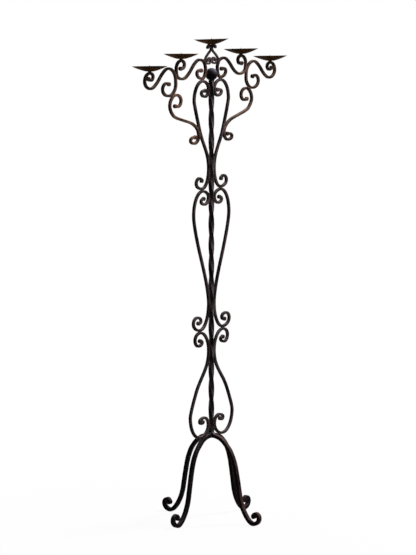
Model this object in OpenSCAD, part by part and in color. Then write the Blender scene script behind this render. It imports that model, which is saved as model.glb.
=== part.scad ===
// Torchere candle stand: five drip pans with prickets on a scrolled wrought iron frame.
// Every scroll is square bar bent in the plane X-Z. The legs stand in a cross.
// Origin: on the floor under the middle of the post. +Z is up, and the arms lie along X.

/* [Whole stand] */
// Height of the middle pan's rim above the floor
stand_h = 1650; // [1500:10:1800]
// Reach of the two inner pans from the post's axis
inner_reach = 162; // [150:2:180]
// Distance from an inner pan to the outer pan beside it
outer_step = 164; // [150:2:180]
// Height of an inner pan's rim below the middle pan's rim
inner_drop = 41; // [30:1:45]
// Height of an outer pan's rim below the inner pan's rim
outer_drop = 32.5; // [28:0.5:40]

/* [Bars] */
// Side of the twisted square post
post_bar = 15; // [13:0.5:17]
// Quarter turns of twist along the post
twist_quarters = 17; // [9:1:25]
// Side of the square bar of the scrolls, arms and braces
scroll_bar = 9; // [8:0.25:10]
// Side of the square bar of the two heart scrolls under the middle pan
heart_bar = 6.75; // [6:0.25:7.5]
// Side of the square bar of the legs
leg_bar = 13.5; // [12:0.5:15]
// How much thicker than its bar a scroll's rolled tip is
tip_swell = 1.6; // [1.3:0.05:1.65]
// How much thicker than its bar a foot's rolled tip is
foot_swell = 1.3; // [1.1:0.05:1.4]

/* [Base] */
// Height of the legs' centreline where they meet the post
hub_h = 291; // [270:1:320]
// Reach of a foot's lowest point from the post's axis
foot_reach = 182; // [160:2:210]
// Depth that each foot is worn flat
foot_wear = 0.5; // [0.2:0.1:1]
// Length of plain square post left above the legs
plain_end = 8; // [7:1:14]

/* [Scrolls] */
// Height where the lower and the middle scrolls touch
lower_joint_h = 659; // [630:1:700]
// Height where the middle and the upper scrolls touch
upper_joint_h = 1142; // [1100:2:1180]
// Reach of the lower scrolls' bulge
lower_bulge = 115; // [100:1:130]
// Reach of the middle scrolls' bulge
middle_bulge = 96; // [85:1:110]
// Reach of the upper scrolls' bulge
upper_bulge = 93; // [88:1:104]

/* [Pans and prickets] */
// Diameter of a pan over its rim
pan_d = 119; // [100:1:130]
// Depth of a pan from its rim to its underside
pan_depth = 17; // [14:0.5:19]
// Thickness of the pans' sheet
pan_t = 1.5; // [1:0.25:2]
// Diameter of the flat floor under the candle
floor_d = 30; // [26:1:36]
// Diameter of the collar between an arm and its pan
collar_d = 12; // [10:0.5:16]
// Height of the collar above the arm
collar_h = 2; // [1.5:0.5:4]
// Height of a pricket above the pan's floor
pricket_h = 20; // [18:1:34]
// Diameter of the pricket's straight pin and of its rivet tail
pricket_d = 4; // [3:0.25:4.5]
// Diameter of the pricket's shoulder
shoulder_d = 9; // [7:0.5:12]
// Height of the pricket's shoulder
shoulder_t = 1.5; // [1:0.25:2]
// Depth that the shoulder is let into the pan's floor
seat_sink = 0.4; // [0.3:0.1:0.6]
// Length of the pricket's point
point_l = 9; // [6:0.5:12]

/* [Ball] */
// Diameter of the ball on top of the post
ball_d = 43; // [36:1:46]
// Diameter of the post's tenon inside the ball
tenon_d = 8; // [6:0.5:10]

/* [Welds and fits] */
// Width of a weld bead across the scroll bars
bead_w = 5.5; // [4:0.5:7]
// Radial clearance of tenon and rivet tail in their holes
fit_gap = 0.1; // [0.05:0.05:0.2]

/* [Hidden] */
$fn = 48;

bend_step = 10;          // most degrees of bend in one straight piece of a bar's outline
piece_l = 24;            // most millimetres in one straight piece
iron = "#2b2422";
pan_iron = "#3a3222";
weld_iron = "#4a403a";

// ---- Heights and reaches that several pieces share ----
middle_rim = stand_h;
inner_rim = middle_rim - inner_drop;
outer_rim = inner_rim - outer_drop;
outer_reach = inner_reach + outer_step;
ball_z = stand_h - 119;                              // centre of the ball
post_corner = post_bar / sqrt(2);                    // circle that the twisted corners sweep
beside_post = post_corner + scroll_bar / 2;          // centreline of a bar that lies on the post
ball_seat = sqrt(pow(ball_d / 2, 2) - pow(post_corner, 2)); // flat under the ball, below its centre
post_top = ball_z - ball_seat;
tenon_l = 14;
lower_waist_z = lower_joint_h - 72;                  // heights where the scrolls lie on the post
middle_waist_z = lower_joint_h + 92;
middle_curl_z = upper_joint_h - 27;
upper_waist_z = upper_joint_h + 0.18 * (ball_z - upper_joint_h);
upper_curl_z = ball_z - 48;
upper_bulge_z = ball_z - 0.22 * (ball_z - upper_joint_h);
hub_under = hub_h - leg_bar / 2;
twist_from = hub_h + leg_bar / 2 + plain_end;
root_gap = 2;                                        // radius left open in the middle of a weld

// ---- Bars drawn through stations ----
// A station is [reach, height, heading], and the bar passes it in that heading, in degrees.
function way(a) = [cos(a), sin(a)];
function wedge(a, b) = a[0] * b[1] - a[1] * b[0];

// Lengths of the two handles of the curve from station a to station b. Where the two headings
// meet in a corner ahead, they are those of a round arc, and in an S bend a share of the chord.
function handles(a, b) =
    let (
        d = [b[0] - a[0], b[1] - a[1]],
        s = wedge(way(a[2]), way(b[2])),
        chord = norm(d),
        la = abs(s) < 0.05 ? -1 : wedge(d, way(b[2])) / s,
        lb = abs(s) < 0.05 ? -1 : wedge(way(a[2]), d) / s,
        turn = acos(max(-1, min(1, way(a[2]) * way(b[2])))),
        k = turn < 1 ? 2 / 3 : 4 / 3 * tan(turn / 4) / tan(turn / 2)
    )
    la > 0 && lb > 0 && max(la, lb) < 3 * chord ? [k * la, k * lb] : [0.4 * chord, 0.4 * chord];

// Point and heading at share t of the curve from station a to station b.
function on_curve(a, b, t) =
    let (
        h = handles(a, b),
        p0 = [a[0], a[1]],
        p1 = p0 + h[0] * way(a[2]),
        p3 = [b[0], b[1]],
        p2 = p3 - h[1] * way(b[2]),
        u = 1 - t,
        p = u * u * u * p0 + 3 * u * u * t * p1 + 3 * u * t * t * p2 + t * t * t * p3,
        v = 3 * u * u * (p1 - p0) + 6 * u * t * (p2 - p1) + 3 * t * t * (p3 - p2)
    )
    [p[0], p[1], atan2(v[1], v[0])];

// Number of straight pieces from station a to b: the sharper the bend, the more.
function pieces(a, b) =
    let (
        chord = [b[0] - a[0], b[1] - a[1]],
        bend = function (v, w) acos(max(-1, min(1, v * w / norm(v) / norm(w))))
    )
    max(
        ceil((bend(way(a[2]), chord) + bend(chord, way(b[2]))) / bend_step),
        ceil(norm(chord) / piece_l)
    );

function centreline(st) = [
    for (i = [0:len(st) - 2])
        let (n = pieces(st[i], st[i + 1]))
        for (j = [0:n - 1]) on_curve(st[i], st[i + 1], j / n),
    st[len(st) - 1]
];

// The station of a bar of side w that touches another at point c, on the side s (1 or -1) of a
// contact line that runs in heading a.
function touching(c, a, w, s, heading) =
    [c[0] - s * sin(a) * w / 2, c[1] + s * cos(a) * w / 2, heading];

// The rolled tip, swell times as thick as its bar of side w, that ends at station p in heading a.
function tip(p, a, w, swell) =
    let (half = 180 - asin(1 / swell))
    [for (i = [0:12]) [p[0], p[1]] + w * swell / 2 * way(a + half - half * i / 6)];

// The bar's outline in its plane, with a rolled tip at its last station, and at its first.
// Points of the two edges that fall inside a tip are left out.
module outline(st, w, first = true, swell = tip_swell) {
    line = centreline(st);
    n = len(line) - 1;
    r = w * swell / 2;
    clear = function (p, c) norm([p[0] - c[0], p[1] - c[1]]) > r;
    edge = function (i, s)
        [line[i][0] - s * sin(line[i][2]) * w / 2, line[i][1] + s * cos(line[i][2]) * w / 2];
    kept = function (p) clear(p, line[n]) && (clear(p, line[0]) || !first);
    polygon(concat(
        [for (i = [0:n]) if (kept(edge(i, 1))) edge(i, 1)],
        tip(line[n], line[n][2], w, swell),
        [for (i = [n:-1:0]) if (kept(edge(i, -1))) edge(i, -1)],
        first ? tip(line[0], line[0][2] + 180, w, swell) : []
    ));
}

module upright(w) {
    rotate([90, 0, 0]) linear_extrude(w, center = true) children();
}

module left_or_right(side) {
    if (side < 0) mirror([1, 0, 0]) children();
    else children();
}

// ---- Contacts between the bars, on the right-hand side: point and heading of the contact line ----
leg_contact = [42, hub_h - 0.2];
leg_contact_dip = -24;
lower_contact = [62, lower_joint_h];
upper_contact = [50, upper_joint_h];
brace_foot_share = 0.56;                             // of the way from upper waist to bulge
brace_foot_contact = [
    beside_post + brace_foot_share * (upper_bulge - beside_post) + 8.5,
    upper_waist_z + brace_foot_share * (upper_bulge_z - upper_waist_z)
];
brace_foot_rise = atan2(upper_bulge_z - upper_waist_z, upper_bulge - beside_post);
brace_top_contact = [inner_reach + 44, ball_z - 58];
brace_top_fall = -35;
arm_contact = [inner_reach + 27, ball_z + 5.5];
arm_contact_rise = 70;
crown_contact = [49, ball_z - 16.5];
heart_contact = [35.5, ball_z + 44];
heart_contact_rise = 57;
neck_z = stand_h - 33.5;
curl_z = ball_z + 45.5;

// ---- Stations of each bar, from one tip to the other ----
leg_line = [
    [post_bar / 2, hub_h, 0],
    touching(leg_contact, leg_contact_dip, leg_bar, -1, leg_contact_dip),
    [foot_reach - 104, hub_h - 40, -50],
    [foot_reach - 78, hub_h - 95, -74],
    [foot_reach - 58, hub_h - 194, -80],
    [foot_reach - 33, 33.5, -56],
    [foot_reach, leg_bar / 2 - foot_wear, 0],
    [foot_reach + 26, 28, 90],
    [foot_reach + 12, 42, 180],
    [foot_reach + 3.5, 33, 263]
];

lower_line = [
    [62.5, lower_joint_h - 32.5, 170],
    [51, lower_joint_h - 39, -90],
    [70, lower_joint_h - 49.5, 0],
    [89, lower_joint_h - 28, 90],
    touching(lower_contact, 0, scroll_bar, -1, 180),
    [beside_post, lower_waist_z, -90],
    [lower_bulge - 30, hub_h + 156, -65],
    [lower_bulge, hub_h + 76, -90],
    [62, hub_h + 1, 180],
    touching(leg_contact, leg_contact_dip, scroll_bar, 1, 180 + leg_contact_dip),
    [beside_post + 2, hub_h + 40, 90],
    [41, hub_h + 67.5, 0],
    [64, hub_h + 56, -90],
    [55.5, hub_h + 49, 180],
    [47.5, hub_h + 53, 135]
];

middle_line = [
    [42.5, upper_joint_h - 30.5, 0],
    [55.5, upper_joint_h - 39, -90],
    [37, upper_joint_h - 50, 180],
    [beside_post + 1, middle_curl_z, 90],
    touching(upper_contact, 0, scroll_bar, -1, 0),
    [middle_bulge, upper_joint_h - 84, -90],
    [middle_bulge - 44, (upper_joint_h + lower_joint_h) / 2 - 4, -110],
    [beside_post, middle_waist_z, -90],
    touching(lower_contact, 0, scroll_bar, 1, 0),
    [98, lower_joint_h + 30.5, 90],
    [78, lower_joint_h + 49.5, 180],
    [57, lower_joint_h + 36, -90],
    [71, lower_joint_h + 29, 10]
];

upper_line = [
    [32.5, ball_z - 54, 10],
    [54, ball_z - 61.5, -90],
    [33, ball_z - 73.5, 180],
    [beside_post + 1, upper_curl_z, 90],
    touching(crown_contact, 0, scroll_bar, -1, 0),
    [upper_bulge, upper_bulge_z, -90],
    touching(brace_foot_contact, brace_foot_rise, scroll_bar, 1, brace_foot_rise - 180),
    [beside_post, upper_waist_z, -90],
    touching(upper_contact, 0, scroll_bar, 1, 0),
    [82, upper_joint_h + 24, 90],
    [66, upper_joint_h + 41, 180],
    [53, upper_joint_h + 32, -105]
];

brace_line = [
    [brace_foot_contact[0] + 19.5, brace_foot_contact[1] - 19, 8],
    [brace_foot_contact[0] + 45, brace_foot_contact[1] - 29, -90],
    [brace_foot_contact[0] + 24.5, brace_foot_contact[1] - 39.5, 180],
    [brace_foot_contact[0] + 1.5, brace_foot_contact[1] - 15, 90],
    touching(brace_foot_contact, brace_foot_rise, scroll_bar, -1, brace_foot_rise),
    [brace_foot_contact[0] + 38.5, brace_foot_contact[1] + 29, 25],
    [brace_top_contact[0] - 41, brace_top_contact[1] - 84, 15],
    [brace_top_contact[0] - 3, brace_top_contact[1] - 69, 42],
    [brace_top_contact[0] + 16, brace_top_contact[1] - 36, 90],
    touching(brace_top_contact, brace_top_fall, scroll_bar, -1, 180 + brace_top_fall),
    [brace_top_contact[0] - 18, brace_top_contact[1] - 0.5, 180],
    [brace_top_contact[0] - 43, brace_top_contact[1] - 21, -90],
    [brace_top_contact[0] - 25, brace_top_contact[1] - 40, 0],
    [brace_top_contact[0] - 12, brace_top_contact[1] - 37.5, 18]
];

// The pan's end of an arm: the bar curls under the pan at reach r, whose underside is at height z,
// the curl is h deep, and its tip is at place p from the bottom of the curl, in heading a.
function pan_curl(r, z, h, p, a) =
    let (top = z - collar_h - scroll_bar / 2)
    [
        [r + 26, top - 26, 90],
        [r, top, 180],
        [r - 17, top - h / 2 - 0.5, -90],
        [r - 5, top - h, 0],
        [r + p[0], top - h + p[1], a]
    ];

inner_arm_line = concat(
    [
        [56, ball_z + 15.5, 18],
        [78, ball_z + 6.5, -92],
        touching(crown_contact, 0, scroll_bar, 1, 180),
        [32, ball_z + 21, 90],
        touching(heart_contact, heart_contact_rise, scroll_bar, -1, heart_contact_rise),
        [67, ball_z + 52, 0],
        [inner_reach - 54, ball_z + 23, -50],
        [inner_reach - 8, ball_z - 7, 0],
        touching(arm_contact, arm_contact_rise, scroll_bar, 1, arm_contact_rise)
    ],
    pan_curl(inner_reach, inner_rim - pan_depth, 27, [3, 0.5], 10)
);

outer_arm_line = concat(
    [
        [inner_reach + 65, ball_z - 20, 24],
        [inner_reach + 77, ball_z - 16.5, 0],
        [inner_reach + 97.5, ball_z - 36, -90],
        [inner_reach + 66, ball_z - 59, 180],
        touching(brace_top_contact, brace_top_fall, scroll_bar, 1, 180 + brace_top_fall),
        [inner_reach + 28.5, ball_z - 23, 90],
        touching(arm_contact, arm_contact_rise, scroll_bar, -1, arm_contact_rise),
        [inner_reach + 69, ball_z + 32, 0],
        [outer_reach - 51, ball_z + 2, -50],
        [outer_reach - 5, ball_z - 29.5, 0]
    ],
    pan_curl(outer_reach, outer_rim - pan_depth, 24, [7, 5.5], 55)
);

heart_line = [
    [19.5, ball_z + 48, 95],
    [11.5, ball_z + 55.5, 180],
    [heart_bar / 2 + 0.1, curl_z, -90],
    [17.5, ball_z + 36.5, 0],
    touching(heart_contact, heart_contact_rise, heart_bar, 1, heart_contact_rise),
    [34.5, ball_z + 51, 92],
    [12, neck_z - 11, 143],
    [heart_bar / 2, neck_z, 90],
    [13, middle_rim - pan_depth - heart_bar / 2, 0],
    [20.5, middle_rim - pan_depth - heart_bar / 2 - 7, -95]
];

// ---- Post and ball ----
module post() {
    turned = post_top - twist_from;
    color(iron) {
        translate([-post_bar / 2, -post_bar / 2, hub_under])
            cube([post_bar, post_bar, twist_from - hub_under]);
        translate([0, 0, twist_from])
            linear_extrude(turned, twist = 90 * twist_quarters, slices = 12 * twist_quarters, $fn = 4)
                square(post_bar, center = true);
        translate([0, 0, post_top])
            cylinder(d = tenon_d, h = tenon_l);
    }
}

module ball() {
    color(iron)
        translate([0, 0, ball_z])
            difference() {
                sphere(d = ball_d, $fn = 64);
                translate([0, 0, -ball_seat - ball_d / 2])
                    cube(ball_d, center = true);
                translate([0, 0, -ball_seat - 1])
                    cylinder(r = tenon_d / 2 + fit_gap, h = tenon_l + 2);
            }
}

// ---- Legs ----
module leg(turn) {
    color(iron)
        rotate([0, 0, turn])
            difference() {
                upright(leg_bar) outline(leg_line, leg_bar, false, foot_swell);
                translate([foot_reach, 0, -leg_bar / 2])
                    cube([foot_reach, 2 * leg_bar, leg_bar], center = true);
            }
}

// ---- Scrolls, braces and hearts ----
module scroll(line, bar, side) {
    color(iron) left_or_right(side) upright(bar) outline(line, bar);
}

// ---- Arms, each with the hole for its pricket's tail ----
tail_l = pan_t - seat_sink + collar_h + 5;           // rivet tail below the shoulder
module arm(line, reach, rim, side) {
    color(iron)
        left_or_right(side)
            difference() {
                upright(scroll_bar) outline(line, scroll_bar);
                translate([reach, 0, rim - pan_depth + pan_t - seat_sink - tail_l - 0.5])
                    cylinder(r = pricket_d / 2 + fit_gap, h = tail_l);
            }
}

// ---- Pans: flat floor, then a dish that steepens from one slope to the other ----
slope_in = 14;
slope_out = 28;
dish_r = (pan_d - floor_d) / 2 / (sin(slope_out) - sin(slope_in));
dish_rise = dish_r * (cos(slope_in) - cos(slope_out));

// Points of the dish from the floor's edge to the rim, lifted by t.
function dish(t) = [
    for (i = [0:6])
        let (a = slope_in + (slope_out - slope_in) * i / 6)
        [
            floor_d / 2 + dish_r * (sin(a) - sin(slope_in)),
            pan_depth * dish_r * (cos(slope_in) - cos(a)) / dish_rise + t
        ]
];

module pan(reach, rim) {
    up = dish(pan_t);
    color(pan_iron)
        translate([reach, 0, rim - pan_depth])
            difference() {
                rotate_extrude($fn = 96)
                    intersection() {
                        polygon(concat([[0, 0]], dish(0), [for (i = [6:-1:0]) up[i]], [[0, pan_t]]));
                        square([pan_d, pan_depth]);
                    }
                translate([0, 0, -1])
                    cylinder(r = pricket_d / 2 + fit_gap, h = pan_t + 2);
                translate([0, 0, pan_t - seat_sink])
                    cylinder(r = shoulder_d / 2 + fit_gap, h = pan_t);
            }
}

// ---- Prickets: a pointed pin on a shoulder, with its tail through the pan ----
module pricket(reach, rim) {
    whole = pricket_h + seat_sink;
    color(iron)
        translate([reach, 0, rim - pan_depth + pan_t - seat_sink]) {
            translate([0, 0, -tail_l]) cylinder(d = pricket_d, h = tail_l);
            cylinder(d = shoulder_d, h = shoulder_t);
            translate([0, 0, shoulder_t]) cylinder(d = pricket_d, h = whole - point_l - shoulder_t);
            translate([0, 0, whole - point_l]) cylinder(d1 = pricket_d, d2 = 0.6, h = point_l);
        }
}

// ---- Collars between the arms and their pans, hollowed to sit on the arm's curl ----
module collar(line, reach, rim, side) {
    color(iron)
        left_or_right(side)
            difference() {
                translate([reach, 0, rim - pan_depth - collar_h - 1.5])
                    cylinder(d = collar_d, h = collar_h + 1.5);
                upright(2 * collar_d) outline(line, scroll_bar);
                translate([reach, 0, rim - pan_depth - collar_h - 2])
                    cylinder(r = pricket_d / 2 + fit_gap, h = collar_h + 3);
            }
}

// ---- Welds: beads in the two grooves beside a contact ----
module bead(c, r) {
    upright(bead_w)
        difference() {
            translate(c) circle(r, $fn = 32);
            translate(c) circle(root_gap, $fn = 16);
            children();
        }
}

module both_sides() {
    children();
    mirror([1, 0, 0]) children();
}

module hub_welds() {
    side = 6;
    top = hub_h + leg_bar / 2;
    color(weld_iron)
        for (turn = [0:90:270])
            rotate([0, 0, turn])
                upright(post_bar - 3)
                    difference() {
                        polygon([
                            [post_bar / 2, top - 2], [post_bar / 2 + side, top - 2],
                            [post_bar / 2 + side, top], [post_bar / 2, top + side]
                        ]);
                        outline(leg_line, leg_bar, false, foot_swell);
                    }
}

module leg_welds() {
    color(weld_iron) both_sides()
        bead(leg_contact, 0.8 * scroll_bar) {
            outline(leg_line, leg_bar, false, foot_swell);
            outline(lower_line, scroll_bar);
        }
}

module scroll_welds() {
    color(weld_iron) both_sides() {
        bead(lower_contact, 0.8 * scroll_bar) {
            outline(lower_line, scroll_bar);
            outline(middle_line, scroll_bar);
        }
        bead(upper_contact, 0.8 * scroll_bar) {
            outline(middle_line, scroll_bar);
            outline(upper_line, scroll_bar);
        }
        bead(brace_foot_contact, 0.8 * scroll_bar) {
            outline(upper_line, scroll_bar);
            outline(brace_line, scroll_bar);
        }
    }
}

module arm_welds() {
    color(weld_iron) {
        both_sides() {
            bead(brace_top_contact, 0.8 * scroll_bar) {
                outline(brace_line, scroll_bar);
                outline(outer_arm_line, scroll_bar);
            }
            bead(arm_contact, 0.8 * scroll_bar) {
                outline(inner_arm_line, scroll_bar);
                outline(outer_arm_line, scroll_bar);
            }
            bead(crown_contact, 0.8 * scroll_bar) {
                outline(inner_arm_line, scroll_bar);
                outline(upper_line, scroll_bar);
            }
            bead(heart_contact, 0.8 * heart_bar) {
                outline(inner_arm_line, scroll_bar);
                outline(heart_line, heart_bar);
            }
        }
        for (z = [neck_z, curl_z])
            bead([0, z], 0.8 * heart_bar) {
                outline(heart_line, heart_bar);
                mirror([1, 0]) outline(heart_line, heart_bar);
            }
    }
}

module pan_welds() {
    color(weld_iron) both_sides()
        bead([13, middle_rim - pan_depth], 0.8 * heart_bar) {
            outline(heart_line, heart_bar);
            translate([0, middle_rim - pan_depth]) square(floor_d);
        }
}

// Tacks that fill the groove between the post's twisted faces and the scrolls beside it.
module post_welds() {
    tack_l = 16;
    color(weld_iron)
        difference() {
            both_sides()
                for (z = [lower_waist_z, middle_waist_z, middle_curl_z, upper_waist_z, upper_curl_z])
                    translate([post_bar / 2 - 3, -bead_w / 2, z - tack_l / 2])
                        cube([post_corner - post_bar / 2 + 5, bead_w, tack_l]);
            post();
            both_sides()
                for (line = [lower_line, middle_line, upper_line])
                    upright(2 * bead_w) outline(line, scroll_bar);
        }
}

post();
ball();
leg(180);  // leg_left
leg(0);  // leg_right
leg(-90);  // leg_front
leg(90);  // leg_rear
scroll(lower_line, scroll_bar, -1);  // lower_scroll_left
scroll(lower_line, scroll_bar, 1);  // lower_scroll_right
scroll(middle_line, scroll_bar, -1);  // middle_scroll_left
scroll(middle_line, scroll_bar, 1);  // middle_scroll_right
scroll(upper_line, scroll_bar, -1);  // upper_scroll_left
scroll(upper_line, scroll_bar, 1);  // upper_scroll_right
scroll(brace_line, scroll_bar, -1);  // brace_left
scroll(brace_line, scroll_bar, 1);  // brace_right
arm(inner_arm_line, inner_reach, inner_rim, -1);  // inner_arm_left
arm(inner_arm_line, inner_reach, inner_rim, 1);  // inner_arm_right
arm(outer_arm_line, outer_reach, outer_rim, -1);  // outer_arm_left
arm(outer_arm_line, outer_reach, outer_rim, 1);  // outer_arm_right
scroll(heart_line, heart_bar, -1);  // heart_scroll_left
scroll(heart_line, heart_bar, 1);  // heart_scroll_right
pan(0, middle_rim);  // pan_middle
pan(-inner_reach, inner_rim);  // pan_inner_left
pan(inner_reach, inner_rim);  // pan_inner_right
pan(-outer_reach, outer_rim);  // pan_outer_left
pan(outer_reach, outer_rim);  // pan_outer_right
pricket(0, middle_rim);  // pricket_middle
pricket(-inner_reach, inner_rim);  // pricket_inner_left
pricket(inner_reach, inner_rim);  // pricket_inner_right
pricket(-outer_reach, outer_rim);  // pricket_outer_left
pricket(outer_reach, outer_rim);  // pricket_outer_right
collar(inner_arm_line, inner_reach, inner_rim, -1);  // collar_inner_left
collar(inner_arm_line, inner_reach, inner_rim, 1);  // collar_inner_right
collar(outer_arm_line, outer_reach, outer_rim, -1);  // collar_outer_left
collar(outer_arm_line, outer_reach, outer_rim, 1);  // collar_outer_right
hub_welds();
leg_welds();
post_welds();
scroll_welds();
arm_welds();
pan_welds();
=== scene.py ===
# %% [markdown]
# # A wrought iron candle stand
# A torchere is a tall stand that lifts candles to the height of the eyes. This one is forged from
# square bar: four legs that curl up into feet, a twisted post, three pairs of scrolls, and arms
# that carry five shallow pans. A spike in each pan, the pricket, holds the candle.
# The exact solids come from a drawing in millimetres. This lesson dresses them: each piece is made
# again in the same place, with the soft corners, the hammer marks and the finish of forged iron.

import math

import bmesh
import bpy
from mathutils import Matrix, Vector
from mathutils.geometry import interpolate_bezier


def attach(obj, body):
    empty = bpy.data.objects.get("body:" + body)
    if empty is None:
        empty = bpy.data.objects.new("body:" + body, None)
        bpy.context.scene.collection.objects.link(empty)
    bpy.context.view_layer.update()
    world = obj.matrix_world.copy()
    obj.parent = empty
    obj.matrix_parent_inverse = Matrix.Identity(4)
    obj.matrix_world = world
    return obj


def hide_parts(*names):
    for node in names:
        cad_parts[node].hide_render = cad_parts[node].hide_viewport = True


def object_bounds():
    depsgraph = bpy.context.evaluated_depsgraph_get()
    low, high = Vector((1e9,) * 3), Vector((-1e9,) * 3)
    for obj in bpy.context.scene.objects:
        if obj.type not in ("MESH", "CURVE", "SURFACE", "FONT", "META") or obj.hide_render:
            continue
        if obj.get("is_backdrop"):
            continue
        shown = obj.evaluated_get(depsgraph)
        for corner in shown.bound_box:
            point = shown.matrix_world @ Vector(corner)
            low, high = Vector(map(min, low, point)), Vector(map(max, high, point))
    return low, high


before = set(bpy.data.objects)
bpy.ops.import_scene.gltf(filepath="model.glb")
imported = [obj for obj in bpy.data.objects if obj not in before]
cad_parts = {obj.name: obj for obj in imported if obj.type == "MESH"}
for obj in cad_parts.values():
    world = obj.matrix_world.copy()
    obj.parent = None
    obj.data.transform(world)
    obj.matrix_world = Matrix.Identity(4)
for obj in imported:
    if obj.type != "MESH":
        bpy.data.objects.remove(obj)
cad_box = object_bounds()
print("solids:", len(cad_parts), "box:", [tuple(round(v, 4) for v in corner) for corner in cad_box])

# %% [markdown]
# ## The room and the eye
# The photograph was taken from about ten metres away with a long lens, a little above the stand,
# so the pans show a thin ellipse and the feet are seen from above. The plane of the scrolls is
# turned about fifty degrees away from facing the camera. A camera placed by these real distances
# gives the same foreshortening, which a short lens close to the stand never would.

# %% Camera
CAMERA_DISTANCE = 10.1137
CAMERA_HEIGHT = 2.2784
CAMERA_AROUND = math.radians(51.518)
CAMERA_TILT = 0.14145  # radians below level
CAMERA_TURN = -0.89803  # radians about the upright, so the stand sits where the photograph has it
LENS, SENSOR = 194.51, 36  # millimetres

eye = bpy.data.objects.new("eye", bpy.data.cameras.new("eye"))
eye.location = (
    -CAMERA_DISTANCE * math.sin(CAMERA_AROUND),
    -CAMERA_DISTANCE * math.cos(CAMERA_AROUND),
    CAMERA_HEIGHT,
)
eye.rotation_euler = (math.pi / 2 - CAMERA_TILT, 0, CAMERA_TURN)
eye.data.lens = LENS
eye.data.sensor_width = SENSOR
eye.data.clip_end = 200
bpy.context.scene.collection.objects.link(eye)
bpy.context.scene.camera = eye
bpy.context.scene.view_settings.view_transform = "Standard"
print("camera at", [round(v, 2) for v in eye.location])

# %% [markdown]
# ## Three small helpers
# Every finish and every shape below is a node tree. One function adds a node, sets its settings,
# and then sets or links its inputs, so a tree reads from top to bottom like a recipe. Another
# turns the colours, which are written the way a paint chip is, into the linear values that the
# shader counts in. The third starts an empty material.

# %% Helpers for nodes and colours
def add(tree, kind, inputs=None, keeps=None, **settings):
    """Adds a node. An input is a plain value, or a socket or a node to link, where a node stands for
    its first output. Keeps are the items of a capture node."""
    made = tree.nodes.new(kind)
    for name, value in settings.items():
        setattr(made, name, value)
    for name, sort in (keeps or {}).items():
        made.capture_items.new(sort, name)
    for name, value in (inputs or {}).items():
        if isinstance(value, bpy.types.Node):
            value = value.outputs[0]
        if isinstance(value, bpy.types.NodeSocket):
            tree.links.new(value, made.inputs[name])
        else:
            made.inputs[name].default_value = value
    return made


def colour(hexes):
    """An sRGB colour such as #2b2422 as linear RGBA."""
    parts = [int(hexes[i:i + 2], 16) / 255 for i in (1, 3, 5)]
    return [p / 12.92 if p <= 0.04045 else ((p + 0.055) / 1.055) ** 2.4 for p in parts] + [1.0]


def blank_material(name):
    """A new material whose node tree is empty, and that tree."""
    made = bpy.data.materials.new(name)
    made.use_nodes = True
    made.node_tree.nodes.clear()
    return made, made.node_tree


print("a mid grey in linear light:", round(colour("#808080")[0], 3))

# %% [markdown]
# ## The finish of forged iron
# Wrought iron leaves the fire with a skin of black scale. The smith brushes it and rubs in hot
# wax, so it looks almost black with a dull sheen, and brown where hands have rubbed the wax away.
# The recipe has four layers, each with its real size: cloudy tone over 60 mm, blotches of 9 mm,
# a pale colour along the corners, and a grain of about 1.5 mm that breaks up the light. The pale
# corners are partly wear and partly a painted highlight, the light line along every edge. The faces
# that look up are painted lighter, partly for dust and partly as painted light from above. One
# recipe serves all the iron, because one smith finished it in one go; some parts get lighter or
# darker copies of it, partly as painted light and shade.

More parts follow.
